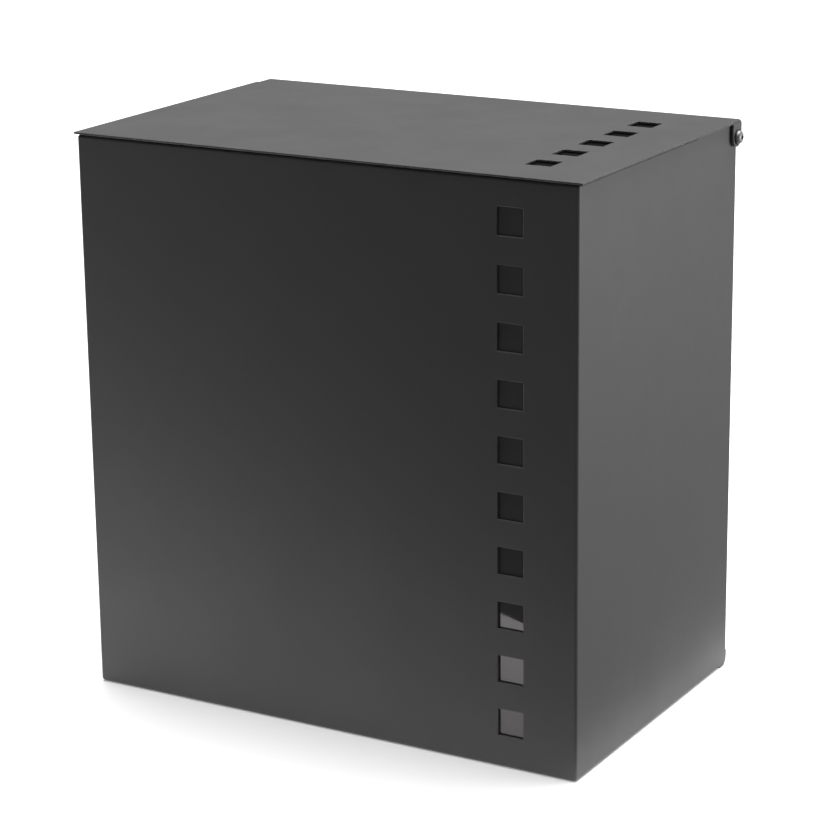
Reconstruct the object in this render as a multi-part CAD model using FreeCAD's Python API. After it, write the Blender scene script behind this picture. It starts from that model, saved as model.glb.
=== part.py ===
import FreeCAD, Part
import math
import os

# Parcel drop box in folded sheet steel, with a lid that hinges on two screws at the rear.
# Millimetres, +Z up. The front faces -Y and +X is to the right as seen from the front.
# Every piece is modelled about the middle of the body's footprint. export() then moves all of
# them to the row frame, whose origin is the bottom centre of the whole box, spacers included.

os.makedirs("parts", exist_ok=True)

# ---- driving dimensions: body ---------------------------------------------------------------
body_width = 406.0
body_depth = 258.0
body_height = 423.5
sheet = 1.5
bend_outer = 2.0
base_bend_outer = 3.0
edge_break = 0.45
top_flange = 12.0
bottom_flange = 15.0
rear_flange = 15.0
mitre_slit = 0.5
weld_gap = 0.2
floor_corner_radius = 2.0

side_flange_end_y = 60.0
side_edge_drop = 0.4
rear_edge_drop = 1.0
plain_edge_drop = 4.0
patch_overlap = 6.0
hinge_corner_radius = 6.0
rear_corner_zone = 12.0
rear_corner_radius = 7.0

window_side = 20.0
window_pitch = 40.0
window_corner = 0.6
window_column_x = 151.5
front_windows = 10
front_window_top_z = 394.0
lid_windows = 5

# ---- driving dimensions: lid and hinge ------------------------------------------------------
lid_gap = 0.5
lid_front_overhang = 0.6
lid_side_overhang = 2.75
lid_corner_radius = 1.0
ear_width = 14.5
ear_bend_outer = 3.0
ear_slot = 1.5
ear_strip = 12.0
pivot_from_rear = 5.4
pivot_below_lid_top = 12.0

stiffener_sheet = 1.0
stiffener_width = 13.5
stiffener_drop = 8.0
stiffener_length = 370.0
stiffener_behind_flange = 2.5
buffer_radius = 4.0
buffer_x = 170.0
buffer_edge_radius = 0.2
buffer_air = 0.05

screw_radius = 2.45
screw_length = 12.0
screw_tip_chamfer = 0.5
screw_hole_radius = 2.75
head_radius = 4.75
head_height = 2.75
head_crown_radius = 2.2
head_shoulder_radius = 3.9
head_shoulder_height = 1.7
socket_across_flats = 3.0
socket_depth = 1.6
bush_flange_radius = 6.0
bush_flange_thickness = 1.2
bush_barrel_radius = 4.0
bush_bore_radius = 2.6
running_clearance = 0.05
washer_bore_radius = 2.65
head_washer_radius = 5.6
head_washer_thickness = 0.8
head_washer_chamfer = 0.2
inner_washer_radius = 5.0
inner_washer_thickness = 1.0
nut_across_flats = 8.0
nut_hex_height = 3.8
nut_corner_chamfer = 0.55
nut_collar_height = 1.2
nut_collar_radius = 3.5
nut_collar_rounding = 0.6
nut_room = 0.7

# ---- driving dimensions: panes and fixings --------------------------------------------------
pane_thickness = 3.0
pane_margin = 8.0
pane_end_margin = 6.0
pane_corner_radius = 2.0
tape_thickness = 0.8
tape_width = 4.5
tape_inset = 0.5

floor_hole_radius = 4.5
floor_hole_spacing_x = 300.0
floor_hole_spacing_y = 170.0

wall_hole_spacing_x = 300.0
wall_hole_spacing_z = 300.0
wall_hole_bottom_z = 62.0
wall_standoff = 15.0
wall_screw_radius = 3.5
spacer_radius = 10.0
spacer_edge_radius = 1.0
spacer_neck_radius = 6.0
spacer_fit = 0.1
spacer_lip_radius = 7.0
spacer_lip_thickness = 1.0
spacer_lip_chamfer = 0.5

# How close an edge must lie to a plane to count as on it, and how far a cutter overshoots.
tiny = 0.01
past = 1.0

# ---- places that follow from them -----------------------------------------------------------
half_width = body_width / 2
half_depth = body_depth / 2
bend_inner = bend_outer - sheet
ear_bend_inner = ear_bend_outer - sheet
base_bend_inner = base_bend_outer - sheet
inside_half_width = half_width - sheet
inside_front_y = -half_depth + sheet
inside_rear_y = half_depth - sheet
panel_half_width = inside_half_width - bend_inner - weld_gap
floor_half_width = inside_half_width - base_bend_inner - weld_gap
plain_edge_z = body_height - plain_edge_drop

lid_under_z = body_height + lid_gap
lid_top_z = lid_under_z + sheet
lid_half_width = half_width + lid_side_overhang
lid_front_y = -half_depth - lid_front_overhang
pivot_y = half_depth - pivot_from_rear
pivot_z = lid_top_z - pivot_below_lid_top
ear_radius = ear_width / 2
ear_front_y = pivot_y - ear_radius
lid_rear_y = pivot_y + ear_radius
slot_front_y = ear_front_y - ear_slot
hinge_zone_z = pivot_z - ear_radius

bush_end_x = lid_half_width + 2 * running_clearance
head_seat_x = bush_end_x + head_washer_thickness
nut_face_x = inside_half_width - inner_washer_thickness
nut_base_x = nut_face_x - nut_hex_height
nut_end_x = nut_base_x - nut_collar_height
nut_corner_radius = nut_across_flats / math.sqrt(3)

front_window_z = [front_window_top_z - window_pitch * i for i in range(front_windows)]
lid_window_y = [window_pitch * (i - (lid_windows - 1) / 2) for i in range(lid_windows)]
pane_half_width = window_side / 2 + pane_margin
pane_left_x = window_column_x - pane_half_width
pane_right_x = window_column_x + pane_half_width

wall_y = half_depth + wall_standoff
origin_shift_y = -(lid_front_y + wall_y) / 2


# ---- helpers --------------------------------------------------------------------------------
def box(x0, x1, y0, y1, z0, z1):
    """Block between two corners."""
    return Part.makeBox(x1 - x0, y1 - y0, z1 - z0, FreeCAD.Vector(x0, y0, z0))


def disc_x(radius, x0, x1):
    """Cylinder along the hinge axis."""
    return Part.makeCylinder(radius, x1 - x0, FreeCAD.Vector(x0, pivot_y, pivot_z), FreeCAD.Vector(1, 0, 0))


def disc_y(radius, x, z, y0, y1):
    """Cylinder along Y."""
    return Part.makeCylinder(radius, y1 - y0, FreeCAD.Vector(x, y0, z), FreeCAD.Vector(0, 1, 0))


def disc_z(radius, x, y, z0, z1):
    """Cylinder along Z."""
    return Part.makeCylinder(radius, z1 - z0, FreeCAD.Vector(x, y, z0), FreeCAD.Vector(0, 0, 1))


def prism_x(outline, x0, x1):
    """Solid with one (y, z) outline between two places along X."""
    points = [FreeCAD.Vector(x0, y, z) for y, z in outline + outline[:1]]
    return Part.Face(Part.makePolygon(points)).extrude(FreeCAD.Vector(x1 - x0, 0, 0))


def hexagon_x(corner_radius, x0, x1):
    """Hexagonal prism along the hinge axis."""
    angles = [math.radians(60 * i) for i in range(6)]
    outline = [(pivot_y + corner_radius * math.cos(a), pivot_z + corner_radius * math.sin(a)) for a in angles]
    return prism_x(outline, x0, x1)


def runs_along(edge, axis):
    """True for a straight edge parallel to the given axis letter."""
    if edge.Curve.TypeId != "Part::GeomLine":
        return False
    along = getattr(edge.tangentAt(edge.FirstParameter), axis)
    return abs(abs(along) - 1.0) < 1e-6


def edges_on(shape, axis, place, along=None):
    """Edges that lie in the plane where one coordinate has the given value."""
    letter = axis.upper()
    found = []
    for edge in shape.Edges:
        low = getattr(edge.BoundBox, letter + "Min")
        high = getattr(edge.BoundBox, letter + "Max")
        in_plane = abs(low - place) < tiny and abs(high - place) < tiny
        if in_plane and (along is None or runs_along(edge, along)):
            found.append(edge)
    return found


def rounded_block(block, axis, radius):
    """Block with its four edges along one axis rounded."""
    return block.makeFillet(radius, [e for e in block.Edges if runs_along(e, axis)])


def mirrored(shape):
    """The same piece on the box's other side."""
    return shape.mirror(FreeCAD.Vector(0, 0, 0), FreeCAD.Vector(1, 0, 0))


def export(name, shape):
    """Moves a piece to the row frame and writes it."""
    placed = shape.copy()
    placed.translate(FreeCAD.Vector(0, origin_shift_y, 0))
    placed.exportStep("parts/%s.step" % name)
    b = placed.BoundBox
    print("%-22s solids %d valid %s  x %.2f..%.2f  y %.2f..%.2f  z %.2f..%.2f" % (
        name, len(placed.Solids), placed.isValid(), b.XMin, b.XMax, b.YMin, b.YMax, b.ZMin, b.ZMax))


# ---- body shell -----------------------------------------------------------------------------
def bent_block(block, base_z, base_radius, radius):
    """Block whose base edges are rounded by one radius and whose other edges by another."""
    block = block.makeFillet(base_radius, edges_on(block, "z", base_z))
    standing = [e for e in block.Edges if runs_along(e, "z")]
    top_z = block.BoundBox.ZMax
    return block.makeFillet(radius, standing + edges_on(block, "z", top_z))


def folded_tub():
    """Closed box of one sheet thickness, with a wider bend round the base than elsewhere."""
    outer = box(-half_width, half_width, -half_depth, half_depth, 0, body_height)
    outer = bent_block(outer, 0, base_bend_outer, bend_outer)
    inner = box(-inside_half_width, inside_half_width, inside_front_y, inside_rear_y,
                sheet, body_height - sheet)
    return outer.cut(bent_block(inner, sheet, base_bend_inner, bend_inner))


def shell_openings():
    """What the blank leaves out: the mouth, the floor between the flanges and the back."""
    deep = base_bend_outer + past
    mouth_x = half_width - top_flange
    floor_x = half_width - bottom_flange
    rear_x = half_width - rear_flange
    mouth = box(-mouth_x, mouth_x, -half_depth + top_flange, half_depth + past,
                body_height - deep, body_height + past)
    floor = box(-floor_x, floor_x, -half_depth + bottom_flange, half_depth + past, -past, deep)
    back = box(-rear_x, rear_x, half_depth - deep, half_depth + past, -past, body_height + past)
    return [mouth, floor, back]


def flangeless_zones():
    """Stretches of the side panels that lose their folds: at the hinge and the rear bottom corner."""
    wide = half_width + past
    top = box(-wide, wide, side_flange_end_y, half_depth + past, plain_edge_z, body_height + past)
    hinge = box(-wide, wide, half_depth - bend_outer, half_depth + past, hinge_zone_z, body_height + past)
    bottom = box(-wide, wide, half_depth - rear_corner_zone, half_depth + past, -past, rear_corner_zone)
    return [top, hinge, bottom]


def upper_side_patch():
    """Plain wall of the right side above its folds, with a top edge that falls towards the hinge."""
    low_z = plain_edge_z - patch_overlap
    rear_start_y = half_depth - bend_outer - past
    patch = prism_x([
        (side_flange_end_y, low_z),
        (side_flange_end_y, body_height - side_edge_drop),
        (half_depth, body_height - rear_edge_drop),
        (half_depth, hinge_zone_z),
        (rear_start_y, hinge_zone_z),
        (rear_start_y, low_z),
    ], inside_half_width, half_width)
    corner = [e for e in edges_on(patch, "y", half_depth, "x") if e.BoundBox.ZMin > hinge_zone_z + past]
    return patch.makeFillet(hinge_corner_radius, corner)


def lower_side_patch():
    """Plain wall of the right side at its rounded rear bottom corner."""
    front_y = half_depth - rear_corner_zone
    patch = box(inside_half_width, half_width, front_y - past, half_depth, 0, rear_corner_zone)
    overlap = box(inside_half_width - past, half_width + past, front_y - 2 * past, front_y,
                  -past, rear_corner_zone - past)
    patch = patch.cut(overlap)
    corner = [e for e in edges_on(patch, "y", half_depth, "x") if e.BoundBox.ZMax < tiny]
    return patch.makeFillet(rear_corner_radius, corner)


def mitre_slits():
    """Thin diagonal cuts that part the flanges at the two front corners, top and bottom."""
    reach = 2 * bottom_flange
    deep = base_bend_outer + past
    slits = []
    for side, turn in ((-1, 45), (1, 135)):
        for z0 in (-past, body_height - deep):
            cut = box(0, reach, -mitre_slit / 2, mitre_slit / 2, z0, z0 + deep + past)
            cut.rotate(FreeCAD.Vector(0, 0, 0), FreeCAD.Vector(0, 0, 1), turn)
            inset = base_bend_outer + mitre_slit
            cut.translate(FreeCAD.Vector(side * (half_width - inset), -half_depth + inset, 0))
            slits.append(cut)
    return slits


def window_cutter_y(x, z, y0, y1):
    """Square window through a wall that faces Y."""
    half = window_side / 2
    return rounded_block(box(x - half, x + half, y0, y1, z - half, z + half), "y", window_corner)


def window_cutter_z(x, y, z0, z1):
    """Square window through a wall that faces Z."""
    half = window_side / 2
    return rounded_block(box(x - half, x + half, y - half, y + half, z0, z1), "z", window_corner)


def is_window_rim(edge):
    """True for an edge in the column of windows."""
    return abs(edge.BoundBox.Center.x - window_column_x) < window_side / 2 + tiny


def body_shell():
    """Front and both sides, folded from one sheet, with flanges round the mouth, the floor and the back."""
    shell = folded_tub().cut(shell_openings() + flangeless_zones())
    patches = [upper_side_patch(), lower_side_patch()]
    shell = shell.fuse(patches + [mirrored(p) for p in patches]).removeSplitter()
    cutters = mitre_slits()
    for z in front_window_z:
        cutters.append(window_cutter_y(window_column_x, z, -half_depth - past, inside_front_y + past))
    pivot_hole = disc_x(screw_hole_radius, inside_half_width - past, half_width + past)
    shell = shell.cut(cutters + [pivot_hole, mirrored(pivot_hole)])
    rims = [e for e in edges_on(shell, "y", -half_depth) if is_window_rim(e)]
    return shell.makeFillet(edge_break, rims)


# ---- floor and back -------------------------------------------------------------------------
def floor_panel():
    """Flat sheet welded on the shell's bottom flanges."""
    floor = box(-floor_half_width, floor_half_width, inside_front_y + base_bend_inner + weld_gap,
                inside_rear_y - weld_gap, sheet, 2 * sheet)
    floor = rounded_block(floor, "z", floor_corner_radius)
    for x in (-floor_hole_spacing_x / 2, floor_hole_spacing_x / 2):
        for y in (-floor_hole_spacing_y / 2, floor_hole_spacing_y / 2):
            floor = floor.cut(disc_z(floor_hole_radius, x, y, sheet - past, 2 * sheet + past))
    return floor


def back_panel():
    """Sheet inside the rear flanges, folded forward at the top and over the floor at the bottom."""
    half = panel_half_width
    rear = inside_rear_y
    bottom_z = 2 * sheet
    top_z = body_height - rear_edge_drop
    outer = box(-half, half, rear - bottom_flange, rear, bottom_z, top_z)
    outer = outer.makeFillet(bend_outer, edges_on(outer, "y", rear, "x"))
    inner = box(-half - past, half + past, rear - bottom_flange - past, rear - sheet,
                bottom_z + sheet, top_z - sheet)
    inner = inner.makeFillet(bend_inner, edges_on(inner, "y", rear - sheet, "x"))
    panel = outer.cut(inner)
    panel = panel.cut(box(-half - past, half + past, rear - bottom_flange - past, rear - top_flange,
                          top_z - sheet - past, top_z + past))
    nut_notch = box(nut_end_x - nut_room, half + past, rear - sheet - past, rear + past,
                    hinge_zone_z, top_z - bend_outer)
    panel = panel.cut([nut_notch, mirrored(nut_notch)])
    for x, z in wall_points():
        panel = panel.cut(disc_y(spacer_neck_radius + spacer_fit, x, z, rear - sheet - past, rear + past))
    return panel


def wall_points():
    """The four wall fixing points, as (x, z)."""
    half = wall_hole_spacing_x / 2
    rows = (wall_hole_bottom_z, wall_hole_bottom_z + wall_hole_spacing_z)
    return [(x, z) for z in rows for x in (-half, half)]


def wall_spacer(x, z):
    """Moulded spacer snapped into the back panel, with a clear hole for a wall screw."""
    rear = inside_rear_y
    lip_y = rear - sheet - spacer_lip_thickness
    body = disc_y(spacer_radius, x, z, rear, wall_y)
    body = body.makeFillet(spacer_edge_radius, edges_on(body, "y", wall_y))
    neck = disc_y(spacer_neck_radius, x, z, rear - sheet, rear)
    lip = disc_y(spacer_lip_radius, x, z, lip_y, rear - sheet)
    lip = lip.makeChamfer(spacer_lip_chamfer, edges_on(lip, "y", lip_y))
    return body.fuse([neck, lip]).cut(disc_y(wall_screw_radius, x, z, lip_y - past, wall_y + past))


# ---- lid ------------------------------------------------------------------------------------
def ear_fold():
    """The right ear with its bend and a strip of lid plate beside it."""
    left = lid_half_width - ear_strip
    bottom = pivot_z - ear_radius
    outer = box(left, lid_half_width, ear_front_y, lid_rear_y, bottom, lid_top_z)
    corner = [e for e in edges_on(outer, "x", lid_half_width, "y") if e.BoundBox.ZMin > lid_under_z]
    outer = outer.makeFillet(ear_bend_outer, corner)
    inside_x = lid_half_width - sheet
    inner = box(left - past, inside_x, ear_front_y - past, lid_rear_y + past, bottom - past, lid_under_z)
    corner = [e for e in edges_on(inner, "x", inside_x, "y") if e.BoundBox.ZMin > bottom]
    inner = inner.makeFillet(ear_bend_inner, corner)
    outline = box(left, lid_half_width, ear_front_y, lid_rear_y, pivot_z, lid_top_z)
    outline = outline.fuse(disc_x(ear_radius, left, lid_half_width))
    fold = outer.cut(inner).common(outline)
    return fold.cut(disc_x(bush_barrel_radius + running_clearance, left, lid_half_width + past))


def lid_panel():
    """Flat lid with an ear folded down at each rear corner and a row of windows."""
    plate = box(-lid_half_width, lid_half_width, lid_front_y, lid_rear_y, lid_under_z, lid_top_z)
    plate = plate.makeFillet(lid_corner_radius, edges_on(plate, "y", lid_front_y, "z"))
    fold = ear_fold()
    room = box(lid_half_width - ear_bend_outer - mitre_slit, lid_half_width + past, slot_front_y,
               lid_rear_y + past, lid_under_z - past, lid_top_z + past)
    plate = plate.cut([room, mirrored(room)])
    lid = plate.fuse([fold, mirrored(fold)]).removeSplitter()
    for y in lid_window_y:
        lid = lid.cut(window_cutter_z(window_column_x, y, lid_under_z - past, lid_top_z + past))
    rims = [e for e in edges_on(lid, "z", lid_top_z)
            if e.BoundBox.YMin < slot_front_y - past and e.BoundBox.YMax < slot_front_y + tiny]
    return lid.makeFillet(edge_break, rims)


def lid_stiffener():
    """Channel welded under the lid just inside the mouth's front flange."""
    y0 = -half_depth + top_flange + stiffener_behind_flange
    y1 = y0 + stiffener_width
    half = stiffener_length / 2
    web_z = lid_under_z - stiffener_sheet
    outer = box(-half, half, y0, y1, lid_under_z - stiffener_drop, lid_under_z)
    outer = outer.makeFillet(2 * stiffener_sheet, edges_on(outer, "z", lid_under_z, "x"))
    inner = box(-half - past, half + past, y0 + stiffener_sheet, y1 - stiffener_sheet,
                lid_under_z - stiffener_drop - past, web_z)
    inner = inner.makeFillet(stiffener_sheet, edges_on(inner, "z", web_z, "x"))
    return outer.cut(inner)


def lid_buffer():
    """Low rubber dot on the right of the front flange, for the lid to close on."""
    top_z = lid_under_z - buffer_air
    dot = disc_z(buffer_radius, buffer_x, -half_depth + top_flange / 2, body_height, top_z)
    return dot.makeFillet(buffer_edge_radius, edges_on(dot, "z", top_z))


# ---- window panes ---------------------------------------------------------------------------
def front_pane_pieces():
    """Dark pane behind the front windows and the bonding frame that holds it."""
    z0 = front_window_z[-1] - window_side / 2 - pane_end_margin
    z1 = front_window_z[0] + window_side / 2 + pane_end_margin
    face = inside_front_y + tape_thickness
    pane = box(pane_left_x, pane_right_x, face, face + pane_thickness, z0, z1)
    edge = tape_inset
    tape = box(pane_left_x + edge, pane_right_x - edge, inside_front_y, face, z0 + edge, z1 - edge)
    edge = tape_inset + tape_width
    hole = box(pane_left_x + edge, pane_right_x - edge, inside_front_y - past, face + past,
               z0 + edge, z1 - edge)
    return rounded_block(pane, "y", pane_corner_radius), tape.cut(hole)


def lid_pane_pieces():
    """The same for the lid, bonded to its underside."""
    y0 = lid_window_y[0] - window_side / 2 - pane_margin
    y1 = lid_window_y[-1] + window_side / 2 + pane_margin
    face = lid_under_z - tape_thickness
    pane = box(pane_left_x, pane_right_x, y0, y1, face - pane_thickness, face)
    edge = tape_inset
    tape = box(pane_left_x + edge, pane_right_x - edge, y0 + edge, y1 - edge, face, lid_under_z)
    edge = tape_inset + tape_width
    hole = box(pane_left_x + edge, pane_right_x - edge, y0 + edge, y1 - edge,
               face - past, lid_under_z + past)
    return rounded_block(pane, "z", pane_corner_radius), tape.cut(hole)


# ---- hinge, right side, from the outside in -------------------------------------------------
def hinge_screw():
    """Button-head screw with a hexagon socket."""
    head_top_x = head_seat_x + head_height
    seat = FreeCAD.Vector(head_seat_x, pivot_y + head_radius, pivot_z)
    shoulder = FreeCAD.Vector(head_seat_x + head_shoulder_height, pivot_y + head_shoulder_radius, pivot_z)
    crown = FreeCAD.Vector(head_top_x, pivot_y + head_crown_radius, pivot_z)
    axis_top = FreeCAD.Vector(head_top_x, pivot_y, pivot_z)
    axis_seat = FreeCAD.Vector(head_seat_x, pivot_y, pivot_z)
    profile = Part.Wire([
        Part.makeLine(axis_seat, seat),
        Part.Arc(seat, shoulder, crown).toShape(),
        Part.makeLine(crown, axis_top),
        Part.makeLine(axis_top, axis_seat),
    ])
    head = Part.Face(profile).revolve(axis_seat, FreeCAD.Vector(1, 0, 0), 360)
    tip_x = head_seat_x - screw_length
    shank = disc_x(screw_radius, tip_x, head_seat_x)
    shank = shank.makeChamfer(screw_tip_chamfer, edges_on(shank, "x", tip_x))
    screw = head.fuse(shank).removeSplitter()
    socket_corner = socket_across_flats / math.sqrt(3)
    return screw.cut(hexagon_x(socket_corner, head_top_x - socket_depth, head_top_x + past))


def head_washer():
    """Thin black washer between the screw head and the ear."""
    ring = disc_x(head_washer_radius, bush_end_x, head_seat_x)
    ring = ring.makeChamfer(head_washer_chamfer, edges_on(ring, "x", head_seat_x))
    return ring.cut(disc_x(washer_bore_radius, bush_end_x - past, head_seat_x + past))


def hinge_bush():
    """Flanged bush: the flange spaces the ear off the side and the barrel carries it."""
    flange_end_x = half_width + bush_flange_thickness
    flange = disc_x(bush_flange_radius, half_width, flange_end_x)
    barrel = disc_x(bush_barrel_radius, flange_end_x, bush_end_x)
    return flange.fuse(barrel).cut(disc_x(bush_bore_radius, half_width - past, bush_end_x + past))


def inner_washer():
    """Steel washer inside the side panel."""
    ring = disc_x(inner_washer_radius, nut_face_x, inside_half_width)
    return ring.cut(disc_x(washer_bore_radius, nut_face_x - past, inside_half_width + past))


def lock_nut():
    """Hexagon nut with a round locking collar."""
    hexagon = hexagon_x(nut_corner_radius, nut_base_x, nut_face_x)
    small = nut_corner_radius - nut_corner_chamfer
    cone = Part.makeCone(small, small + nut_hex_height, nut_hex_height,
                         FreeCAD.Vector(nut_base_x, pivot_y, pivot_z), FreeCAD.Vector(1, 0, 0))
    collar = disc_x(nut_collar_radius, nut_end_x, nut_base_x)
    collar = collar.makeFillet(nut_collar_rounding, edges_on(collar, "x", nut_end_x))
    nut = hexagon.common(cone).fuse(collar)
    return nut.cut(disc_x(screw_radius + running_clearance, nut_end_x - past, nut_face_x + past))


# ---- everything in place --------------------------------------------------------------------
export("body_shell", body_shell())
export("floor_panel", floor_panel())
export("back_panel", back_panel())
for (x, z), name in zip(wall_points(), ("lower_left", "lower_right", "upper_left", "upper_right")):
    export("wall_spacer_" + name, wall_spacer(x, z))

export("lid_panel", lid_panel())
export("lid_stiffener", lid_stiffener())

front_pane, front_tape = front_pane_pieces()
export("front_window_pane", front_pane)
export("front_pane_tape", front_tape)
lid_pane, lid_tape = lid_pane_pieces()
export("lid_window_pane", lid_pane)
export("lid_pane_tape", lid_tape)

for name, piece in (
    ("lid_buffer", lid_buffer()),
    ("hinge_screw", hinge_screw()),
    ("head_washer", head_washer()),
    ("hinge_bush", hinge_bush()),
    ("inner_washer", inner_washer()),
    ("lock_nut", lock_nut()),
):
    export(name + "_right", piece)
    export(name + "_left", mirrored(piece))
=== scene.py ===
# %% [markdown]
# # Parcel drop box
# A box of folded sheet steel, coated in a satin graphite powder, with a flat lid that turns on two
# screws at the rear. A line of square windows runs down the front and on over the lid, with a strip
# of smoked acrylic behind it. The solids come finished from the CAD model and are loaded as they are.
# What is left for Blender is the finish of each one, the few small parts that repay finer modelling,
# and the table, the lights and the camera.

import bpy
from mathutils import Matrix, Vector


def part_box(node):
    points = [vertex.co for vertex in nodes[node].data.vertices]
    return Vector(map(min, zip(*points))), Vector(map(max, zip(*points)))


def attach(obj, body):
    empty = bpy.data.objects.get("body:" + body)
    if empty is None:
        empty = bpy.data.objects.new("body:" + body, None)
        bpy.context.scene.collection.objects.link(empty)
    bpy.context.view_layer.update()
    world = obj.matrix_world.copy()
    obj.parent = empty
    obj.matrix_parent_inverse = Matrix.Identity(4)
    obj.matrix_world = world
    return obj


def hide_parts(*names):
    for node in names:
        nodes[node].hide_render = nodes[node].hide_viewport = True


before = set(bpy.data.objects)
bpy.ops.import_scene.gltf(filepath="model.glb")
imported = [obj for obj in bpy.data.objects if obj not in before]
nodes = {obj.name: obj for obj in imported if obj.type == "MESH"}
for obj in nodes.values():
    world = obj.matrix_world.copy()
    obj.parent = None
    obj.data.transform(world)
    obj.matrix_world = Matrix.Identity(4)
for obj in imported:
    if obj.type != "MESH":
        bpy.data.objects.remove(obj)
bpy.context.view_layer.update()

# %% [markdown]
# Every size below is in metres, as in the frame. One millimetre gets a name, because finishes are
# thought of in millimetres: a powder coat has a grain of about half of one.

# %% Units and tools
import math

import bmesh
import bpy
from mathutils import Matrix, Vector

mm = 0.001
shell_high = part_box("body_shell")[1]
screw_low, screw_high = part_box("hinge_screw_right")
washer_low, washer_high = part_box("head_washer_right")
hinge_y = (washer_low.y + washer_high.y) / 2
hinge_z = (washer_low.z + washer_high.z) / 2
print("hinge axis at y", round(hinge_y / mm, 2), "mm and z", round(hinge_z / mm, 2), "mm")

# %% [markdown]
# ## Wiring materials in code
# A material is a small graph. Typing every link by hand hides what it does, so three short helpers
# do the wiring: one adds a node and fills its inputs, one does a sum, and one opens a new node
# group. An input that is given a socket is linked to it, and one that is given a value keeps it.

# %% Node helpers
def add_node(tree, kind, inputs=None, **settings):
    """Adds a node, sets its options, then links or fills its inputs."""
    made = tree.nodes.new(kind)
    for name, value in settings.items():
        setattr(made, name, value)
    for name, value in (inputs or {}).items():
        if isinstance(value, bpy.types.NodeSocket):
            tree.links.new(value, made.inputs[name])
        else:
            made.inputs[name].default_value = value
    return made


def sum_of(tree, operation, first, second=0.0, third=0.0, clamp=False):
    """One Math node, returned as its output socket."""
    made = add_node(tree, "ShaderNodeMath", {0: first, 1: second, 2: third}, operation=operation)
    made.use_clamp = clamp
    return made.outputs[0]


def ramp(tree, value, low, high):
    """0 below low, 1 above high and a smooth rise between."""
    made = add_node(tree, "ShaderNodeMapRange", {"Value": value, "From Min": low, "From Max": high},
                    interpolation_type="SMOOTHSTEP")
    return made.outputs["Result"]


def open_group(name, inputs, outputs, normals=()):
    """A new shader node group with named sockets, and its input and output nodes."""
    group = bpy.data.node_groups.new(name, "ShaderNodeTree")
    for label, value in inputs.items():
        kind = "NodeSocketVector" if value is None else "NodeSocketFloat"
        socket = group.interface.new_socket(label, in_out="INPUT", socket_type=kind)
        if value is not None:
            socket.default_value = value
    for label in outputs:
        group.interface.new_socket(label, in_out="OUTPUT", socket_type="NodeSocketFloat")
    for label in normals:
        group.interface.new_socket(label, in_out="OUTPUT", socket_type="NodeSocketVector")
    return group, group.nodes.new("NodeGroupInput").outputs, group.nodes.new("NodeGroupOutput").inputs


def use_group(tree, group, **inputs):
    """Places a group in a material and returns its outputs."""
    made = add_node(tree, "ShaderNodeGroup", node_tree=group)
    for name, value in inputs.items():
        socket = made.inputs[name.replace("_", " ")]
        if isinstance(value, bpy.types.NodeSocket):
            tree.links.new(value, socket)
        else:
            socket.default_value = value
    return made.outputs


def noise(tree, position, size, detail=2.0, roughness=0.5):
    """Noise whose lumps are about size millimetres across, from 0 to 1."""
    scale = sum_of(tree, "DIVIDE", 1.0, size)
    made = add_node(tree, "ShaderNodeTexNoise", {
        "Vector": position, "Scale": scale, "Detail": detail, "Roughness": roughness})
    return made.outputs["Fac"]


# %% [markdown]
# ## Shared effects
# Powder coat is sprayed as dry plastic dust and baked. It melts into a skin with a fine grain on top
# of a slow ripple, called orange peel, and its colour clouds a little. All three are noise at
# different sizes, so one node group makes them together and every coated piece shares it.

# %% Node group: powder grain
powder_grain, given, gives = open_group(
    "Powder grain", {"Position": None, "Grain size": 0.5, "Ripple size": 4.0, "Ripple share": 0.4},
    ["Height", "Fleck", "Cloud"])
tree = powder_grain
fine = noise(tree, given["Position"], given["Grain size"])
ripple = noise(tree, given["Position"], given["Ripple size"])
uneven = sum_of(tree, "MULTIPLY", ripple, given["Ripple share"])
tree.links.new(sum_of(tree, "ADD", fine, uneven), gives["Height"])
tree.links.new(ramp(tree, fine, 0.62, 0.74), gives["Fleck"])
tree.links.new(noise(tree, given["Position"], 38.0, detail=3.0), gives["Cloud"])
print("group", powder_grain.name, "with", len(powder_grain.nodes), "nodes")

# %% [markdown]
# Coating pulls thin over a sharp corner, and a corner is what gets rubbed. The Bevel node gives the
# normal that a rounded edge would have. Where it leans away from the true normal there is an edge
# within reach, and noise breaks the line up so that it doesn't look drawn on. The group hands the
# rounded normal out as well, so that a finish can be shaded as a soft, paint-thick edge.

# %% Node group: edge wear
edge_wear, given, gives = open_group(
    "Edge wear", {"Position": None, "Reach": 0.5, "Patch size": 6.0, "Amount": 0.5},
    ["Mask"], ["Soft normal"])
tree = edge_wear
reach = sum_of(tree, "MULTIPLY", given["Reach"], mm)
rounded = add_node(tree, "ShaderNodeBevel", {"Radius": reach}, samples=6).outputs["Normal"]
true_normal = add_node(tree, "ShaderNodeNewGeometry").outputs["Normal"]
agreement = add_node(tree, "ShaderNodeVectorMath", {0: rounded, 1: true_normal},
                     operation="DOT_PRODUCT").outputs["Value"]
near_edge = ramp(tree, sum_of(tree, "SUBTRACT", 1.0, agreement), 0.01, 0.16)
patchy = ramp(tree, noise(tree, given["Position"], given["Patch size"], detail=4.0), 0.15, 0.60)
worn = sum_of(tree, "MULTIPLY", near_edge, patchy)
# On the graphite coat this mask also places a painted highlight along the rims.
tree.links.new(sum_of(tree, "MULTIPLY", worn, given["Amount"], clamp=True), gives["Mask"])
tree.links.new(rounded, gives["Soft normal"])
print("group", edge_wear.name, "with", len(edge_wear.nodes), "nodes")

# %% [markdown]
# Dust settles on what faces up, and hands and cloths leave broad soft marks that change the gloss
# more than the colour. Both are masks, so they can share a group: the normal's upward part picks the
# level faces, and two sizes of noise make the marks.

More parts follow.
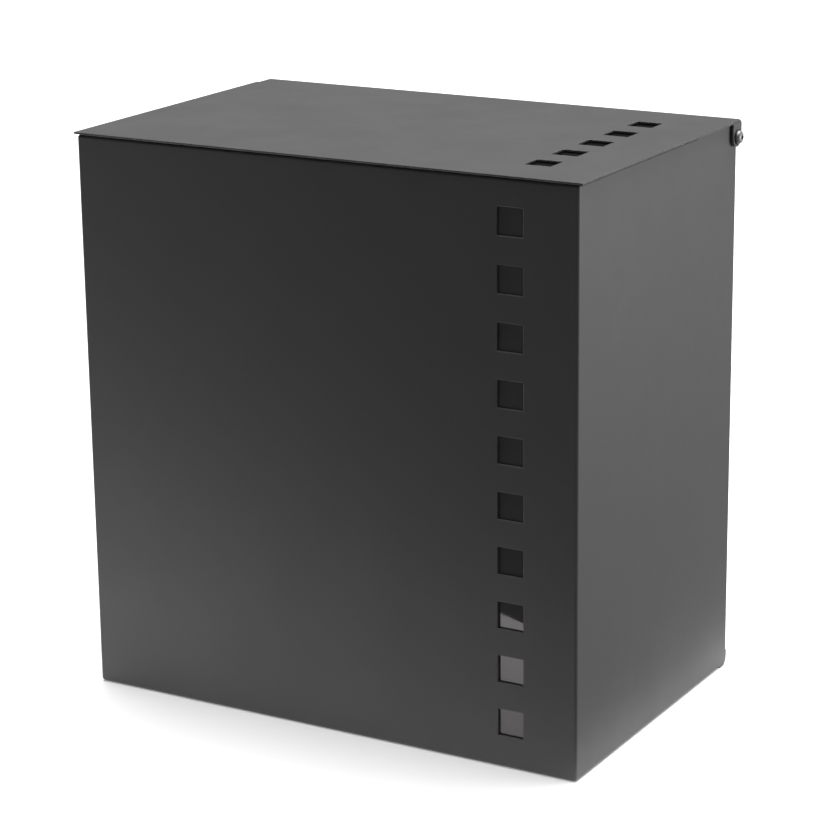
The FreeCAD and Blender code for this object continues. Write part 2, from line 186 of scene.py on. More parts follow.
# %% Node group: dust and rubbing
handling, given, gives = open_group(
    "Dust and rubbing", {"Position": None, "Dust": 0.3, "Mark size": 45.0}, ["Dust mask", "Rubbed"])
tree = handling
facing = add_node(tree, "ShaderNodeSeparateXYZ", {
    0: add_node(tree, "ShaderNodeNewGeometry").outputs["Normal"]}).outputs["Z"]
level = ramp(tree, facing, 0.6, 1.0)
specks = ramp(tree, noise(tree, given["Position"], 0.9, detail=1.0), 0.66, 0.74)
film = noise(tree, given["Position"], 22.0, detail=4.0)
settled = sum_of(tree, "MULTIPLY_ADD", specks, 0.6, film)
tree.links.new(sum_of(tree, "MULTIPLY", sum_of(tree, "MULTIPLY", settled, level), given["Dust"]),
               gives["Dust mask"])
broad = noise(tree, given["Position"], given["Mark size"], detail=5.0, roughness=0.6)
tree.links.new(ramp(tree, broad, 0.35, 0.70), gives["Rubbed"])
print("group", handling.name, "with", len(handling.nodes), "nodes")

# %% [markdown]
# Fine scratches are noise that has been squashed into long thin streaks. Only the tips of the noise
# are kept, so most of the surface stays clean.

# %% Node group: fine scratches
fine_scratches, given, gives = open_group(
    "Fine scratches", {"Position": None, "Width": 0.12, "Length": 14.0, "Turn": 0.5}, ["Mask"])
tree = fine_scratches
turned = add_node(tree, "ShaderNodeVectorRotate", {
    "Vector": given["Position"], "Axis": (0.3, 0.6, 0.74), "Angle": given["Turn"]}).outputs[0]
squash = add_node(tree, "ShaderNodeCombineXYZ", {
    "X": sum_of(tree, "DIVIDE", 1.0, given["Length"]), "Y": sum_of(tree, "DIVIDE", 1.0, given["Width"]),
    "Z": sum_of(tree, "DIVIDE", 1.0, given["Width"])}).outputs[0]
streaks = add_node(tree, "ShaderNodeVectorMath", {0: turned, 1: squash}, operation="MULTIPLY").outputs[0]
lines = noise(tree, streaks, 1.0, detail=1.0)
tree.links.new(ramp(tree, lines, 0.70, 0.78), gives["Mask"])
print("group", fine_scratches.name, "with", len(fine_scratches.nodes), "nodes")

# %% [markdown]
# The shell, the back and the floor are joined by spot welds, and under paint each weld is a shallow
# round dimple. A row of dimples is a distance field: the position along the row is folded into one
# pitch, and the distance to the row's line and to the middle of the pitch gives a disc.

# %% Node group: weld dimples
weld_dimples, given, gives = open_group(
    "Weld dimples", {"Position": None, "Line": None, "Pitch": 60.0, "Radius": 2.6}, ["Height"])
tree = weld_dimples
offset = add_node(tree, "ShaderNodeVectorMath", {0: given["Position"], 1: given["Line"]},
                  operation="SUBTRACT").outputs[0]
parts = add_node(tree, "ShaderNodeSeparateXYZ", {0: offset}).outputs
half_pitch = sum_of(tree, "MULTIPLY", given["Pitch"], 0.5)
folded = sum_of(tree, "SUBTRACT", sum_of(tree, "FLOORED_MODULO", parts["Z"], given["Pitch"]), half_pitch)
spot = add_node(tree, "ShaderNodeCombineXYZ", {"X": parts["X"], "Y": parts["Y"], "Z": folded}).outputs[0]
distance = add_node(tree, "ShaderNodeVectorMath", {0: spot}, operation="LENGTH").outputs["Value"]
rim = sum_of(tree, "MULTIPLY", given["Radius"], 0.55)
bowl = add_node(tree, "ShaderNodeMapRange", {
    "Value": distance, "From Min": rim, "From Max": given["Radius"]}, interpolation_type="SMOOTHSTEP")
tree.links.new(bowl.outputs["Result"], gives["Height"])
print("group", weld_dimples.name, "with", len(weld_dimples.nodes), "nodes")

# %% [markdown]
# Turned metal keeps the rings that the tool left. The rings are a sine of the distance from the
# piece's own axis, and here that is the hinge axis, which runs along X.

# %% Node group: turned rings
turned_rings, given, gives = open_group(
    "Turned rings", {"Position": None, "Axis point": None, "Ring pitch": 0.25}, ["Height"])
tree = turned_rings
offset = add_node(tree, "ShaderNodeVectorMath", {0: given["Position"], 1: given["Axis point"]},
                  operation="SUBTRACT").outputs[0]
across = add_node(tree, "ShaderNodeVectorMath", {0: offset, 1: (0.0, 1.0, 1.0)}, operation="MULTIPLY")
radius = add_node(tree, "ShaderNodeVectorMath", {0: across.outputs[0]}, operation="LENGTH").outputs["Value"]
phase = sum_of(tree, "MULTIPLY", sum_of(tree, "DIVIDE", radius, given["Ring pitch"]), math.tau)
tree.links.new(sum_of(tree, "SINE", phase), gives["Height"])
print("group", turned_rings.name, "with", len(turned_rings.nodes), "nodes")

# %% [markdown]
# ## Finishes
# Every finish starts the same way: a Principled BSDF and the position on the piece in millimetres,
# from Object coordinates. A pattern on Object coordinates stays with the piece when the lid turns.

# %% Start a material
def start_finish(name, **constants):
    """A material with its shader and position ready. Constants go on the shader's own sockets."""
    material = bpy.data.materials.new(name)
    material.use_nodes = True
    tree = material.node_tree
    shader = tree.nodes["Principled BSDF"]
    for label, value in constants.items():
        shader.inputs[label.replace("_", " ")].default_value = value
    place = add_node(tree, "ShaderNodeTexCoord").outputs["Object"]
    position = add_node(tree, "ShaderNodeVectorMath", {0: place, 1: (1000.0, 1000.0, 1000.0)},
                        operation="MULTIPLY").outputs[0]
    return material, tree, shader, position


def mix_colour(tree, mask, first, second):
    """Blends two colours by a mask."""
    made = add_node(tree, "ShaderNodeMix", {0: mask, 6: first, 7: second}, data_type="RGBA")
    return made.outputs[2]


def drive(tree, shader, label, value):
    """Links a value to one of the shader's inputs."""
    tree.links.new(value, shader.inputs[label])


def bump(tree, shader, height, depth, over=None):
    """Turns a height from 0 to 1 into a bumped normal, depth in millimetres, over another normal."""
    made = add_node(tree, "ShaderNodeBump", {"Distance": depth * mm, "Height": height})
    if over is not None:
        tree.links.new(over, made.inputs["Normal"])
    drive(tree, shader, "Normal", made.outputs["Normal"])


# %% [markdown]
# ### Graphite powder coat
# Satin, dark and neutral. The base colour barely moves: a slow cloud, scattered lighter flecks from
# the grain, a much paler line along the edges that is partly wear and partly a painted highlight on
# the rims, and a trace of dust on level faces. The gloss moves more, because rubbing polishes the
# grain and dust dulls it.

# %% Finish: graphite coat
graphite = (0.078, 0.078, 0.079, 1.0)
graphite_cloud = (0.084, 0.084, 0.085, 1.0)
graphite_fleck = (0.105, 0.105, 0.106, 1.0)
graphite_edge_wear_and_highlight = (0.360, 0.360, 0.362, 1.0)
dust_colour = (0.34, 0.33, 0.31, 1.0)


def make_coat(name, weld_lines=()):
    """The powder coat, with a row of weld dimples along each given line."""
    material, tree, shader, position = start_finish(name, IOR=1.5)
    grain = use_group(tree, powder_grain, Position=position)
    wear = use_group(tree, edge_wear, Position=position, Reach=0.9, Amount=1.2)
    touch = use_group(tree, handling, Position=position, Dust=0.05)
    colour = mix_colour(tree, grain["Cloud"], graphite, graphite_cloud)
    colour = mix_colour(tree, sum_of(tree, "MULTIPLY", grain["Fleck"], 0.5), colour, graphite_fleck)
    # The pale edge colour is partly edge wear and partly a painted highlight where light catches the rims.
    colour = mix_colour(tree, wear["Mask"], colour, graphite_edge_wear_and_highlight)
    drive(tree, shader, "Base Color", mix_colour(tree, touch["Dust mask"], colour, dust_colour))
    gloss = sum_of(tree, "MULTIPLY_ADD", touch["Rubbed"], -0.05, 0.50)
    gloss = sum_of(tree, "MULTIPLY_ADD", grain["Fleck"], 0.06, gloss)
    gloss = sum_of(tree, "MULTIPLY_ADD", touch["Dust mask"], 0.8, gloss)
    drive(tree, shader, "Roughness", gloss)
    height = sum_of(tree, "MULTIPLY", grain["Height"], 0.12)
    for line in weld_lines:
        dimple = use_group(tree, weld_dimples, Position=position, Line=line)
        height = sum_of(tree, "ADD", height, dimple["Height"])
    bump(tree, shader, height, depth=0.12, over=wear["Soft normal"])
    return material


graphite_coat = make_coat("graphite_coat")
flange_x = shell_high.x / mm - 8.0
rear_y = shell_high.y / mm
seam_coat = make_coat("graphite_coat_welded", [(flange_x, rear_y, 12.0), (-flange_x, rear_y, 12.0)])
print("coats:", graphite_coat.name, seam_coat.name)

# %% [markdown]
# ### Smoked acrylic
# Dark cast sheet. It is so dark that what shows is its gloss, so the colour is plain and the detail
# is in the roughness and the surface: hairline scratches, a film of dust and the very slow waviness
# that bends a reflection. Both faces of the sheet reflect, which a higher IOR stands for. The front
# strip is given a paler base as painted light for what shows in its windows, and the lid's strip a
# near-black base as painted shade.

# %% Finish: smoked acrylic
def make_acrylic(name, painted_tone):
    """Glossy dark sheet. Painted tone is its base brightness: painted light on the front strip, painted shade
    on the lid's.
    """
    material, tree, shader, position = start_finish(name, IOR=1.8, Specular_Tint=(1.0, 0.94, 0.97, 1.0))
    touch = use_group(tree, handling, Position=position, Dust=0.006, Mark_size=30.0)
    scratch = use_group(tree, fine_scratches, Position=position)
    clean = (painted_tone, 0.95 * painted_tone, 0.97 * painted_tone, 1.0)
    wiped = (1.15 * painted_tone, 1.09 * painted_tone, 1.11 * painted_tone, 1.0)
    colour = mix_colour(tree, touch["Rubbed"], clean, wiped)
    drive(tree, shader, "Base Color", mix_colour(tree, touch["Dust mask"], colour, dust_colour))
    gloss = sum_of(tree, "MULTIPLY_ADD", touch["Rubbed"], 0.03, 0.02)
    drive(tree, shader, "Roughness", sum_of(tree, "MULTIPLY_ADD", scratch["Mask"], 0.15, gloss))
    wave = noise(tree, position, 55.0, detail=0.0)
    bump(tree, shader, sum_of(tree, "MULTIPLY_ADD", scratch["Mask"], -0.01, wave), depth=0.12)
    return material


# The front strip's paler base is painted light, and the lid strip's near-black base is painted shade.
front_acrylic = make_acrylic("smoked_acrylic_front", painted_tone=0.080)
lid_acrylic = make_acrylic("smoked_acrylic_lid", painted_tone=0.011)
print("finish:", front_acrylic.name, lid_acrylic.name)

# %% [markdown]
# ### Bonding tape, rubber and mouldings
# Three soft dark plastics with one recipe between them: a grain, a slow cloud, worn edges and dust.
# They differ in colour, in how rough they are and in the size of their grain, so one function makes
# them all.

# %% Finish: soft blacks
def make_moulding(name, base, pale, grain_size, depth, rough, shine=0.5):
    """A matte moulded or foamed plastic."""
    material, tree, shader, position = start_finish(name, IOR=1.5, Specular_IOR_Level=shine)
    grain = use_group(tree, powder_grain, Position=position, Grain_size=grain_size, Ripple_size=2.5)
    wear = use_group(tree, edge_wear, Position=position, Reach=0.3, Amount=0.6, Patch_size=2.0)
    touch = use_group(tree, handling, Position=position, Dust=0.08, Mark_size=12.0)
    colour = mix_colour(tree, grain["Cloud"], base, pale)
    colour = mix_colour(tree, wear["Mask"], colour, tuple(min(1.0, 2.2 * c) for c in pale[:3]) + (1.0,))
    drive(tree, shader, "Base Color", mix_colour(tree, touch["Dust mask"], colour, dust_colour))
    drive(tree, shader, "Roughness", sum_of(tree, "MULTIPLY_ADD", touch["Rubbed"], -0.10, rough))
    bump(tree, shader, grain["Height"], depth=depth)
    return material


bonding_tape = make_moulding("bonding_tape", (0.045, 0.045, 0.045, 1.0), (0.055, 0.055, 0.055, 1.0),
                             grain_size=0.35, depth=0.05, rough=0.92, shine=0.3)
rubber = make_moulding("rubber", (0.016, 0.016, 0.016, 1.0), (0.024, 0.024, 0.023, 1.0),
                       grain_size=0.25, depth=0.02, rough=0.85, shine=0.35)
black_nylon = make_moulding("black_nylon", (0.014, 0.014, 0.015, 1.0), (0.020, 0.020, 0.021, 1.0),
                            grain_size=0.30, depth=0.012, rough=0.55)
moulded_spacer = make_moulding("moulded_spacer", (0.030, 0.030, 0.031, 1.0), (0.040, 0.040, 0.041, 1.0),
                               grain_size=0.45, depth=0.03, rough=0.62)
print("mouldings:", bonding_tape.name, rubber.name, black_nylon.name, moulded_spacer.name)

# %% [markdown]
# ### Stainless steel and zinc
# Both are metals, so the colour is the reflection's tint. Stainless screws show the turned rings of
# the die and a few scratches. Zinc plate is warmer and patchy, and dulls where it has been handled.

# %% Finish: metals
axis_point = (0.0, hinge_y / mm, hinge_z / mm)


def make_metal(name, base, tarnish, rough, ring_depth, cloud_size):
    """A plated or turned metal with rings about the hinge axis."""
    material, tree, shader, position = start_finish(name, Metallic=1.0)
    rings = use_group(tree, turned_rings, Position=position, Axis_point=axis_point)
    scratch = use_group(tree, fine_scratches, Position=position, Width=0.05, Length=3.0)
    wear = use_group(tree, edge_wear, Position=position, Reach=0.2, Patch_size=1.5, Amount=0.8)
    patches = ramp(tree, noise(tree, position, cloud_size, detail=4.0), 0.35, 0.70)
    colour = mix_colour(tree, patches, base, tarnish)
    drive(tree, shader, "Base Color", mix_colour(tree, wear["Mask"], colour, (0.80, 0.80, 0.79, 1.0)))
    gloss = sum_of(tree, "MULTIPLY_ADD", patches, 0.12, rough)
    drive(tree, shader, "Roughness", sum_of(tree, "MULTIPLY_ADD", scratch["Mask"], 0.15, gloss))
    marks = sum_of(tree, "MULTIPLY_ADD", scratch["Mask"], -0.8, rings["Height"])
    bump(tree, shader, marks, depth=ring_depth)
    return material


stainless = make_metal("stainless", (0.36, 0.355, 0.35, 1.0), (0.28, 0.275, 0.27, 1.0), 0.55, 0.003, 2.0)
zinc_steel = make_metal("zinc_steel", (0.52, 0.51, 0.47, 1.0), (0.43, 0.42, 0.38, 1.0), 0.34, 0.003, 1.2)
print("metals:", stainless.name, zinc_steel.name)

# %% [markdown]
# ## Dress the CAD pieces
# Each CAD piece arrives with the material slot that its record names. The shapes stay untouched and
# only what fills the slot changes, so a dictionary from piece to finish is all that is needed.

# %% Assign finishes
def finish_of(node):
    """The finish that a piece wears, from its name."""
    by_word = {
        "shell": seam_coat, "back_panel": seam_coat, "panel": graphite_coat, "stiffener": graphite_coat,
        "pane_tape": bonding_tape, "front_window": front_acrylic, "lid_window": lid_acrylic,
        "spacer": moulded_spacer, "buffer": rubber, "screw": stainless, "head_washer": black_nylon,
        "bush": black_nylon, "inner_washer": zinc_steel, "nut": zinc_steel,
    }
    return next(finish for word, finish in by_word.items() if word in node)


for name, node in nodes.items():
    for slot in node.material_slots:
        slot.material = finish_of(name)
print("dressed", len(nodes), "pieces")

# %% [markdown]
# ## Finer small parts
# The CAD screws, nuts and spacers have the right outside sizes and nothing more. Four operators make
# the detail: spin turns an outline into a lathe-like body, bevel rounds its rims, bisect_plane cuts
# flats, and bridge_loops joins a round rim to a six-sided one. An outline is a short list of points,
# each a distance along the axis and a radius in millimetres.

# %% Tools for turned parts
def spun(shape, outline, centre, axis, closed=True, steps=48):
    """Turns an outline about an axis through centre."""
    across = Vector((0.0, 0.0, 1.0))
    corners = [shape.verts.new(centre + along * mm * axis + radius * mm * across)
               for along, radius in outline]
    followers = corners[1:] + corners[:1] if closed else corners[1:]
    edges = [shape.edges.new(pair) for pair in zip(corners, followers)]
    bmesh.ops.spin(shape, geom=corners + edges, cent=centre, axis=axis, angle=math.tau, steps=steps,
                   use_merge=True)
    bmesh.ops.remove_doubles(shape, verts=shape.verts, dist=0.001 * mm)


def ring(shape, centre, axis, along, radius):
    """The edges that lie on a circle about the axis, for bevel and bridge_loops."""
    def on_circle(vert):
        place = vert.co - centre
        height = place.dot(axis)
        return (abs(height - along * mm) < 0.01 * mm
                and abs((place - height * axis).length - radius * mm) < 0.01 * mm)
    return [edge for edge in shape.edges if all(on_circle(vert) for vert in edge.verts)]


def round_rim(shape, edges, size, segments):
    """Rounds a rim."""
    bmesh.ops.bevel(shape, geom=edges, offset=size * mm, offset_type="OFFSET", segments=segments,
                    profile=0.5, affect="EDGES", material=-1)


def make_piece(name, shape, finish, replaces=None):
    """Turns a finished bmesh into a piece of the box, in place of a CAD node if one is named."""
    bmesh.ops.recalc_face_normals(shape, faces=shape.faces)
    for face in shape.faces:
        face.smooth = True
    mesh = bpy.data.meshes.new(name)
    shape.to_mesh(mesh)
    shape.free()
    mesh.set_sharp_from_angle(angle=math.radians(32))
    mesh.materials.append(finish)
    piece = bpy.data.objects.new(name, mesh)
    bpy.context.scene.collection.objects.link(piece)
    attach(piece, "box")
    if replaces:
        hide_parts(replaces)
    print(name, len(mesh.polygons), "faces")


def for_side(shape, side):
    """Leaves a right-hand part where it is, or swings it half a turn to the left side."""
    if side == "left":
        bmesh.ops.rotate(shape, cent=(0.0, hinge_y, hinge_z), matrix=Matrix.Rotation(math.pi, 3, "Z"),
                         verts=shape.verts)


# %% [markdown]
# ### Hinge screws
# A button head is a disc whose rim is rounded almost to its full height. The round opening left in
# the crown is bridged to a six-sided loop, which is then pushed down to make the socket. The thread
# is a small triangle spun and slid along the axis at once, which makes a helix. The left screw is
# the right one swung round, not mirrored, because a mirror would reverse its thread.

# %% Hinge screws
outward = Vector((1.0, 0.0, 0.0))
seat = Vector((washer_high.x, hinge_y, hinge_z))
head_radius = (screw_high.z - screw_low.z) / 2 / mm
head_height = (screw_high.x - washer_high.x) / mm
shank_length = (washer_high.x - screw_low.x) / mm
shank_radius = 2.45
core_radius = 2.05
thread_pitch = 0.8
thread_turns = 7
socket_flat_radius = 1.5
socket_depth = 1.6
socket_corner = socket_flat_radius / math.cos(math.pi / 6)
crown_hole = socket_corner + 0.2
rim_share = 0.86
tip_chamfer = 0.4
thread_start = 0.5
thread_margin = 1.0
thread_runout = 0.3
tooth_width = 0.64
tooth_root = core_radius - 0.05
thread_steps = 24


def turn_screw(shape):
    """Head, shank and core in one outline, with the crown left open for the socket."""
    plain = shank_length - thread_margin - thread_pitch * thread_turns
    outline = [(-shank_length, 0.0), (-shank_length, core_radius - tip_chamfer),
               (tip_chamfer - shank_length, core_radius), (-plain - thread_runout, core_radius),
               (-plain, shank_radius), (0.0, shank_radius), (0.0, head_radius),
               (head_height, head_radius), (head_height, crown_hole)]
    spun(shape, outline, seat, outward, closed=False)
    round_rim(shape, ring(shape, seat, outward, head_height, head_radius),
              rim_share * head_height, segments=8)


def sink_socket(shape):
    """Bridges the crown's round opening to a hexagon and sinks it."""
    upright = Matrix.Translation(seat + head_height * mm * outward) @ Matrix.Rotation(math.pi / 2, 4, "Y")
    corners = bmesh.ops.create_circle(shape, segments=6, radius=socket_corner * mm, matrix=upright)["verts"]
    sides = {edge for corner in corners for edge in corner.link_edges}
    cut = bmesh.ops.subdivide_edges(shape, edges=list(sides), cuts=7)
    hexagon = [item for item in cut["geom"] if isinstance(item, bmesh.types.BMEdge)]
    opening = ring(shape, seat, outward, head_height, crown_hole)
    bmesh.ops.bridge_loops(shape, edges=opening + hexagon)
    walls = bmesh.ops.extrude_edge_only(shape, edges=hexagon)["geom"]
    sunk = [item for item in walls if isinstance(item, bmesh.types.BMVert)]
    bmesh.ops.translate(shape, vec=-socket_depth * mm * outward, verts=sunk)
    floor = [item for item in walls if isinstance(item, bmesh.types.BMEdge)
             and all(vert in sunk for vert in item.verts)]
    bmesh.ops.edgeloop_fill(shape, edges=floor)


def wind_thread(shape):
    """A triangular ridge that climbs one pitch for each turn."""
    start = seat + (thread_start - shank_length) * mm * outward
    across = Vector((0.0, 0.0, 1.0))
    profile = ((0.0, tooth_root), (tooth_width / 2, shank_radius), (tooth_width, tooth_root))
    tooth = [shape.verts.new(start + along * mm * outward + radius * mm * across)
             for along, radius in profile]
    edges = [shape.edges.new((tooth[i - 1], tooth[i])) for i in range(3)]
    bmesh.ops.spin(shape, geom=tooth + edges, cent=start, axis=outward, angle=math.tau * thread_turns,
                   steps=thread_steps * thread_turns, dvec=thread_pitch / thread_steps * mm * outward)
    bmesh.ops.holes_fill(shape, edges=[edge for edge in shape.edges if edge.is_boundary], sides=0)


for side in ("right", "left"):
    screw = bmesh.new()
    turn_screw(screw)
    sink_socket(screw)
    wind_thread(screw)
    for_side(screw, side)
    make_piece("fine_screw_" + side, screw, stainless, replaces="hinge_screw_" + side)

# %% [markdown]
# ### Lock nuts
# A real nut starts as a turned blank with its rims chamfered, and the six flats are cut afterwards.
# Doing it in that order here gives the curved edges where each flat meets the chamfer. The collar
# at the far end grips a nylon ring, which is what stops the nut from working loose as the lid turns.
# The ring is a piece of its own here, and has no CAD solid to replace.

# %% Lock nuts
nut_low, nut_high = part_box("lock_nut_right")
nut_face = Vector((nut_high.x, hinge_y, hinge_z))
nut_length = (nut_high.x - nut_low.x) / mm
flat_radius = 4.0
corner_radius = flat_radius / math.cos(math.pi / 6)
bore_radius = 2.5
hex_height = 3.8
collar_radius = 3.5
groove_radius = 3.0
rim_chamfer = 0.35
bore_chamfer = 0.3
nut_outline = [(0.0, bore_radius + bore_chamfer), (0.0, flat_radius), (rim_chamfer, corner_radius),
               (hex_height - 0.4, corner_radius), (hex_height, collar_radius + 0.2),
               (hex_height, collar_radius), (nut_length - rim_chamfer, collar_radius),
               (nut_length, collar_radius - 0.3), (nut_length, groove_radius),
               (hex_height, groove_radius), (hex_height, bore_radius), (bore_chamfer, bore_radius)]
insert_floor = hex_height + 0.05
insert_top = nut_length - 0.15
insert_radius = groove_radius - 0.03
insert_outline = [(insert_floor, bore_radius), (insert_floor, insert_radius),
                  (insert_top, insert_radius), (insert_top, bore_radius + 0.1)]

for side in ("right", "left"):
    nut = bmesh.new()
    spun(nut, nut_outline, nut_face, -outward)
    for sixth in range(6):
        turn = math.tau / 12 + sixth * math.tau / 6
        facing = Vector((0.0, math.cos(turn), math.sin(turn)))
        cut = bmesh.ops.bisect_plane(nut, geom=nut.verts[:] + nut.edges[:] + nut.faces[:], dist=0.0001 * mm,
                                     plane_co=nut_face + flat_radius * mm * facing, plane_no=facing,
                                     clear_outer=True)["geom_cut"]
        bmesh.ops.edgeloop_fill(nut, edges=[item for item in cut if isinstance(item, bmesh.types.BMEdge)])
    for_side(nut, side)
    make_piece("fine_nut_" + side, nut, zinc_steel, replaces="lock_nut_" + side)
    insert = bmesh.new()
    spun(insert, insert_outline, nut_face, -outward)
    for_side(insert, side)
    make_piece("nut_insert_" + side, insert, black_nylon)

# %% [markdown]
# ### Wall spacers
# A moulded spacer is cored out, because thick plastic sinks as it cools. Its outline is a hub for
# the wall screw, an outer wall, and a pocket between them that opens towards the building. Eight
# ribs, each a plain block turned about the axis, carry the load across the pocket.

# %% Wall spacers
rearward = Vector((0.0, 1.0, 0.0))
rib_count = 8
rib_width = 1.2
rib_span = 3.4
rib_recess = 1.0
hub_radius = 5.3
wall_inner_radius = 8.2
pocket_floor = 5.0
draft = 0.3
screw_way = 3.5
neck_radius = 5.9
lip_radius = 7.0
panel_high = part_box("back_panel")[1]
for place in ("lower_left", "lower_right", "upper_left", "upper_right"):
    low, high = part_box("wall_spacer_" + place)
    seat_back = Vector(((low.x + high.x) / 2, panel_high.y, (low.z + high.z) / 2))
    outer = (high.x - low.x) / 2 / mm
    standoff = (high.y - panel_high.y) / mm
    lip = (low.y - panel_high.y) / mm
    outline = [(lip, screw_way), (lip, lip_radius - 0.5), (lip + 0.5, lip_radius), (lip + 1.0, lip_radius),
               (lip + 1.0, neck_radius), (0.0, neck_radius), (0.0, outer - 0.5), (0.5, outer),
               (standoff - 0.8, outer), (standoff, outer - 0.8), (standoff, wall_inner_radius),
               (pocket_floor, wall_inner_radius - draft), (pocket_floor, hub_radius + draft),
               (standoff, hub_radius), (standoff, screw_way + 0.4), (standoff - 0.4, screw_way)]
    spacer = bmesh.new()
    spun(spacer, outline, seat_back, rearward)
    rib_size = (rib_span * mm, (standoff - pocket_floor - rib_recess) * mm, rib_width * mm)
    rib_centre = ((hub_radius + wall_inner_radius) / 2 * mm,
                  (standoff + pocket_floor - rib_recess) / 2 * mm, 0.0)
    for rib in range(rib_count):
        block = bmesh.ops.create_cube(spacer, size=1.0)["verts"]
        bmesh.ops.scale(spacer, vec=rib_size, verts=block)
        bmesh.ops.translate(spacer, vec=rib_centre, verts=block)
        bmesh.ops.rotate(spacer, matrix=Matrix.Rotation(rib * math.tau / rib_count, 3, "Y"), verts=block)
        bmesh.ops.translate(spacer, vec=seat_back, verts=block)
    make_piece("fine_spacer_" + place, spacer, moulded_spacer,
               replaces="wall_spacer_" + place)

# %% [markdown]
# ## The table and what the box reflects
# The table is a wide pale sheet, larger than any view. It glows faintly, which is painted light: the
# glow fills in the box's shadow on the table and adds light to the foot of the box. In a studio a
# table ends just outside the view, and glossy things show the dim room beyond it. Three cards just
# above the table stand for that room, and none of them shows to the camera or casts a shadow. Two lie
# in front, turned a little: the grey one is left out of bounced light, so it sets where a reflection
# of the table stops, and the dark one is left out of reflections, starts nearer and keeps pale light
# off the front. The third lies on the right and dims what the side gets from below.

# %% Table and cards
def stage_sheet(name, width, depth, centre, colour, turn=0.0, glow=0.0):
    """A flat rectangle of stage, turned about the vertical, with a plain, faintly mottled finish."""
    mesh = bpy.data.meshes.new(name)
    shape = bmesh.new()
    bmesh.ops.create_grid(shape, x_segments=1, y_segments=1, size=0.5)
    bmesh.ops.scale(shape, vec=(width, depth, 1.0), verts=shape.verts)
    bmesh.ops.translate(shape, vec=centre, verts=shape.verts)
    bmesh.ops.rotate(shape, matrix=Matrix.Rotation(turn, 3, "Z"), verts=shape.verts)
    shape.to_mesh(mesh)
    shape.free()
    sheet = bpy.data.objects.new(name, mesh)
    bpy.context.scene.collection.objects.link(sheet)
    material, tree, shader, position = start_finish(name, Roughness=0.9, Specular_IOR_Level=0.0,
                                                    Emission_Strength=glow)
    darker = tuple(0.985 * c for c in colour[:3]) + (1.0,)
    drive(tree, shader, "Base Color", mix_colour(tree, noise(tree, position, 3.0), colour, darker))
    mesh.materials.append(material)
    return sheet


table_size = 14.0
table_reach = 0.225
card_turn = math.radians(22)
card_reach = 0.373
card_depth = 5.0
card_lift = 0.0005
# The table's glow is painted light: it lifts the box's shadow on the table and lights the foot of the box.
stage_sheet("table", table_size, table_size, (0.0, 0.0, 0.0), (0.90, 0.90, 0.90, 1.0), glow=0.25)
card_centre = (0.0, -table_reach - card_depth / 2, card_lift)
mirrored_centre = (0.0, -card_reach - card_depth / 2, card_lift)
mirrored_card = stage_sheet("grey_card", table_size, card_depth, mirrored_centre, (0.055, 0.055, 0.055, 1.0),
                            card_turn)
mirrored_card.visible_diffuse = False
bounce_card = stage_sheet("dark_card", table_size, card_depth, card_centre, (0.03, 0.03, 0.03, 1.0),
                          card_turn)
bounce_card.visible_glossy = False
side_card_width = 3.0
side_card_x = shell_high.x + 0.03 + side_card_width / 2
side_card_centre = (side_card_x, 0.9, 1.5 * card_lift)
side_card = stage_sheet("side_card", side_card_width, 2 * side_card_width, side_card_centre,
                        (0.20, 0.20, 0.20, 1.0))
for card in (mirrored_card, bounce_card, side_card):
    card.visible_camera = False
    card.visible_shadow = False
print("table", table_size, "m across, lit to", table_reach, "m towards the camera")

# %% [markdown]
# ## Light
# A broad soft light hangs overhead. A smaller one stands well to the right and behind, its middle a
# little lower than the lid, and lights the side. Only a faint fill reaches the front, which is why
# the side is brighter than the face with the windows. The overhead light is a Sun with a wide angle,
# because it lights the whole table evenly and so leaves no edge of light in the view. The world is
# white to the camera and almost dark to everything else.

# %% Lights
def aim(item, at):
    """Turns a lamp or a camera at its place to face a point."""
    item.rotation_mode = "QUATERNION"
    item.rotation_quaternion = (Vector(at) - item.location).to_track_quat("-Z", "Y")


overhead_data = bpy.data.lights.new("overhead", "SUN")
overhead_data.energy = 5.15
overhead_data.angle = math.radians(50)
overhead = bpy.data.objects.new("overhead", overhead_data)
overhead.location = (0.0, 0.35, 2.0)
aim(overhead, (0.0, 0.0, 0.0))
bpy.context.scene.collection.objects.link(overhead)

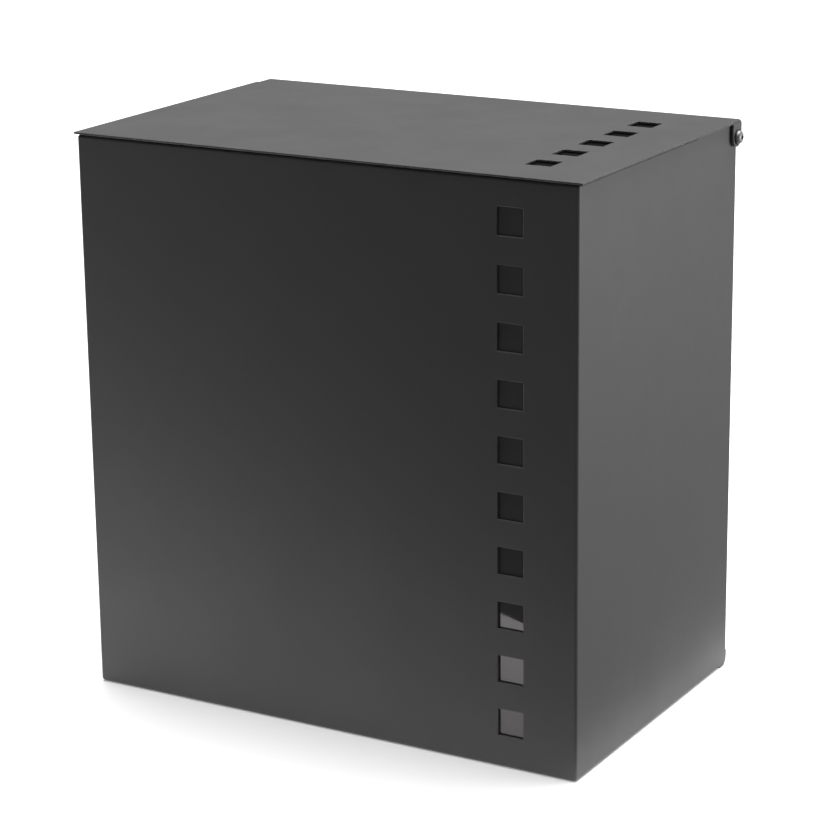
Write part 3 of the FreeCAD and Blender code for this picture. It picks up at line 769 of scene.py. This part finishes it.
key_data = bpy.data.lights.new("key", "AREA")
key_data.shape = "RECTANGLE"
key_data.size = 1.2
key_data.size_y = 0.6
key_data.energy = 20.5
key = bpy.data.objects.new("key", key_data)
key.location = (1.9, 1.15, 0.31)
aim(key, (0.2, 0.0, 0.20))
bpy.context.scene.collection.objects.link(key)

fill_data = bpy.data.lights.new("fill", "AREA")
fill_data.size = 0.8
fill_data.energy = 0.06
fill = bpy.data.objects.new("fill", fill_data)
fill.location = (-1.15, -0.75, 0.45)
aim(fill, (-0.1, -0.13, 0.2))
bpy.context.scene.collection.objects.link(fill)

world = bpy.data.worlds.new("studio")
bpy.context.scene.world = world
world.use_nodes = True
sky = world.node_tree
backdrop = sky.nodes["Background"]
ray = add_node(sky, "ShaderNodeLightPath").outputs["Is Camera Ray"]
room_light = 0.044
sky.links.new(sum_of(sky, "MULTIPLY_ADD", ray, 1.1, room_light), backdrop.inputs["Strength"])
backdrop.inputs["Color"].default_value = (1.0, 1.0, 1.0, 1.0)
print("lights: overhead", overhead_data.energy, "key", key_data.energy, "room", room_light)

# %% [markdown]
# ## Camera
# A long lens from the right of the front, a little above the lid. The camera is given by the point
# it looks at and the angles round it, which is easier to change than a bare position.

# %% Camera
camera_aim = Vector((0.0159, -0.0340, 0.2172))
camera_distance = 2.05
camera_azimuth = math.radians(30.04)
camera_elevation = math.radians(16.27)
camera_roll = math.radians(-0.68)
back = Vector((math.sin(camera_azimuth) * math.cos(camera_elevation),
               -math.cos(camera_azimuth) * math.cos(camera_elevation), math.sin(camera_elevation)))
lens_data = bpy.data.cameras.new("camera")
lens_data.lens = 121.3
lens_data.sensor_width = 36.0
lens_data.clip_start = 0.05
lens_data.clip_end = 50.0
camera = bpy.data.objects.new("camera", lens_data)
camera.location = camera_aim + back * camera_distance
aim(camera, camera_aim)
camera.rotation_quaternion = camera.rotation_quaternion @ Matrix.Rotation(camera_roll, 3, "Z").to_quaternion()
bpy.context.scene.collection.objects.link(camera)
bpy.context.scene.camera = camera
bpy.context.scene.view_settings.view_transform = "Standard"
print("camera at", [round(c, 3) for c in camera.location])
